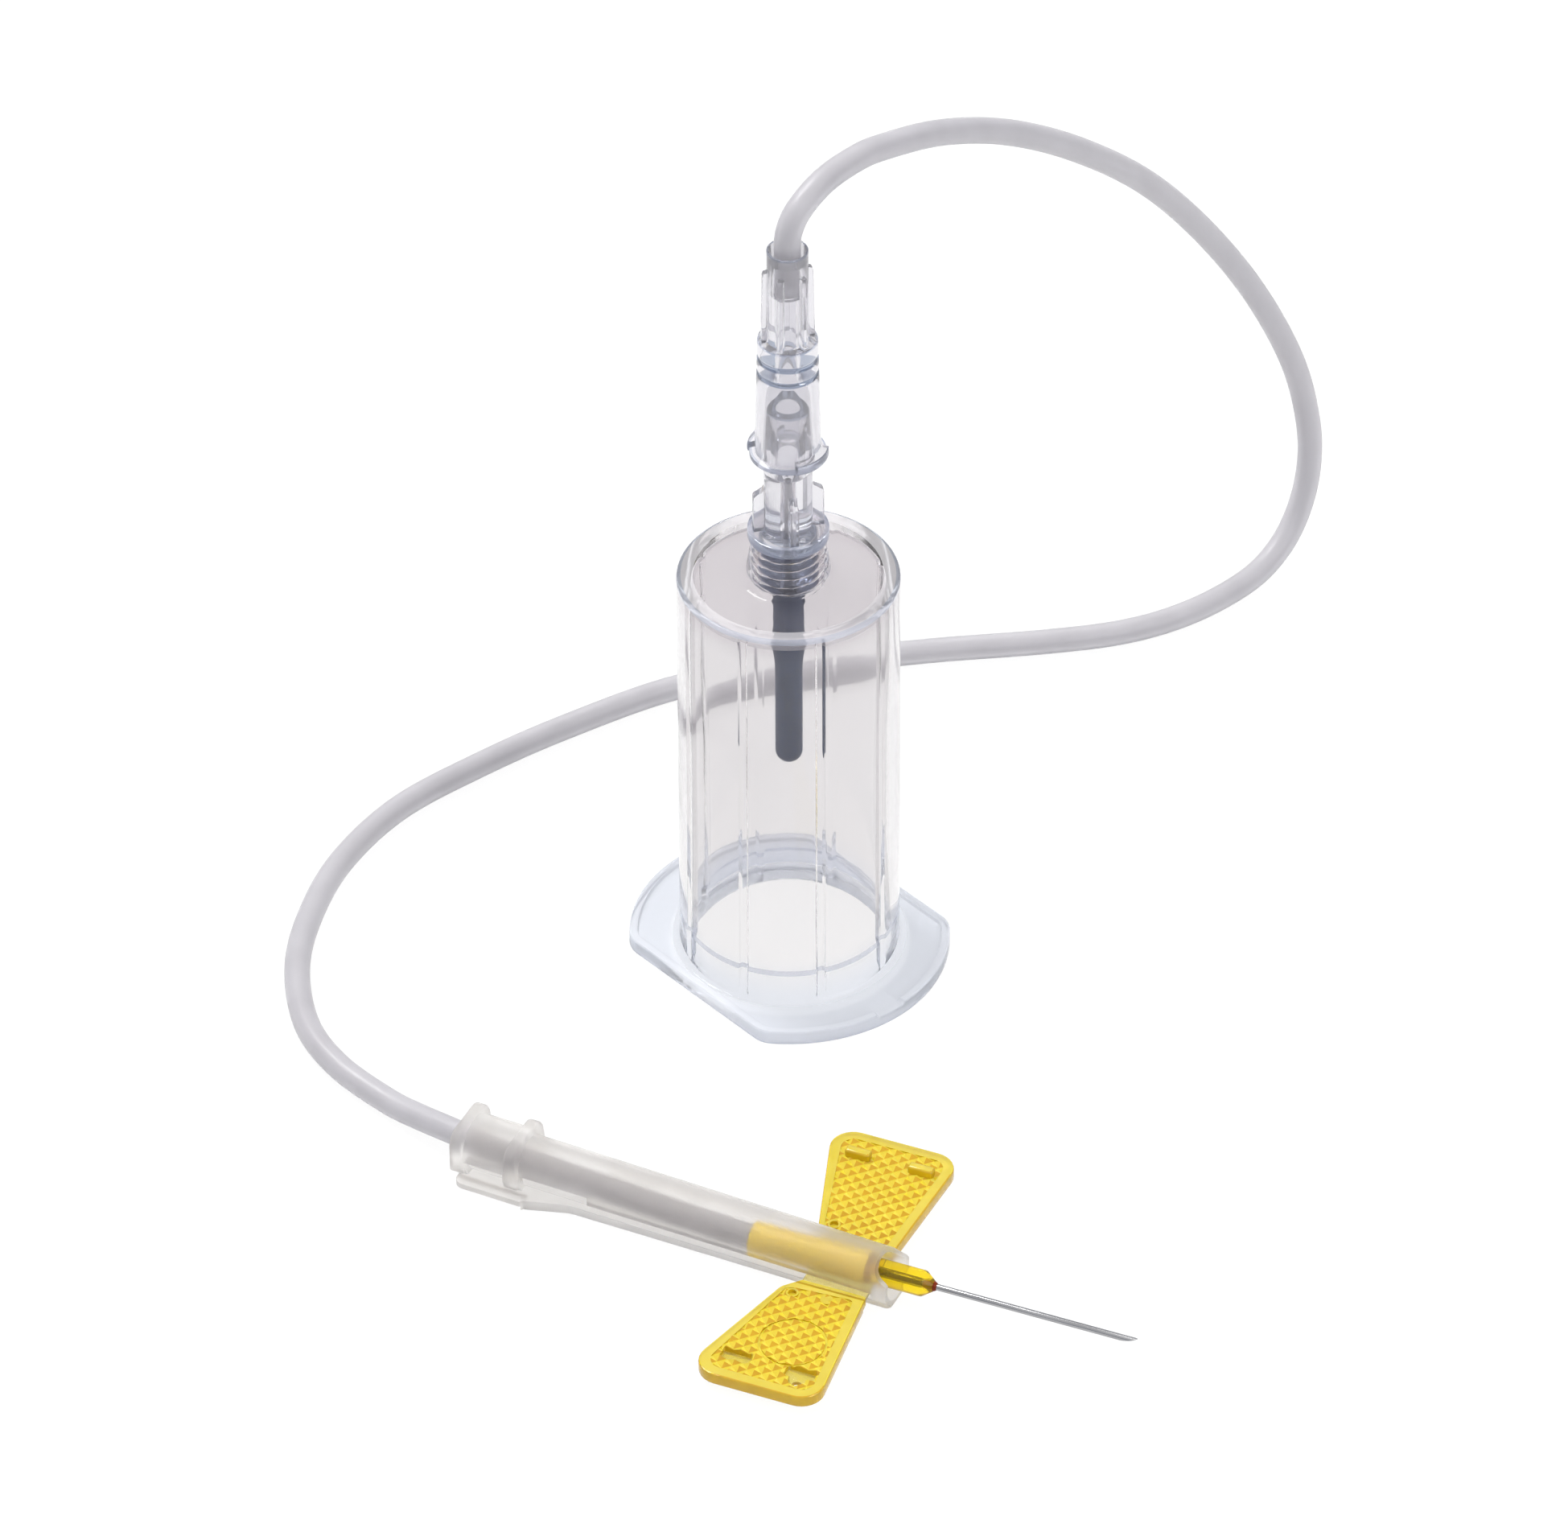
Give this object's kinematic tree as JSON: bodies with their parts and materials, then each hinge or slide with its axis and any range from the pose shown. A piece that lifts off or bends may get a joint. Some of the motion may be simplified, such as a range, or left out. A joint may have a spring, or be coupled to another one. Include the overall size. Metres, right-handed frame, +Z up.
{
  "type": "blood tube holder with winged blood collection set",
  "caption": "Clear barrel on a lipped flange with a threaded luer adapter, sleeved inner needle, tubing loop and a winged needle in a sliding sheath.",
  "frame": {"origin": "on the table, under the middle of everything but the tubing's overall box", "axes": "+Z up along the barrel, -Y from the barrel towards the winged needle, +X to the right as seen from the winged needle's side"},
  "size_m": [0.1053, 0.1335, 0.0907],
  "materials": {
    "clear_holder": "clear, with smooth glossy walls",
    "clear_luer": "clear and glossy",
    "grey_rubber": "soft matt rubber",
    "steel": "drawn stainless steel",
    "soft_tubing": "soft clear tubing",
    "yellow_plastic": "translucent yellow, glossy",
    "frosted_plastic": "frosted translucent",
    "red_epoxy": "glossy red-brown bead"
  },
  "bodies": {
    "holder_and_needle": {"tube_holder": "clear_holder", "luer_adapter": "clear_luer", "rear_needle": "steel", "rubber_sleeve": "grey_rubber", "luer_connector": "clear_luer", "tubing": "soft_tubing", "wing_hub": "yellow_plastic", "needle": "steel", "glue_bead": "red_epoxy"},
    "sheath": {"safety_sheath": "frosted_plastic"},
    "near_wing_body": {"near_wing": "yellow_plastic"},
    "far_wing_body": {"far_wing": "yellow_plastic"}
  },
  "joints": [
    {"name": "sheath_slide", "type": "slide", "parent": "holder_and_needle", "child": "sheath", "axis": [0.9026, -0.4305, 0], "range_m": [0, 0.0295]},
    {"name": "near_wing_fold", "type": "hinge", "parent": "holder_and_needle", "child": "near_wing_body", "pos_m": [0.00393, -0.02799, 0.0019], "axis": [-0.9239, 0.3827, 0], "range_deg": [0, 90]},
    {"name": "far_wing_fold", "type": "hinge", "parent": "holder_and_needle", "child": "far_wing_body", "pos_m": [0.00699, -0.0206, 0.0019], "axis": [0.9239, -0.3827, 0], "range_deg": [0, 90]}
  ]
}
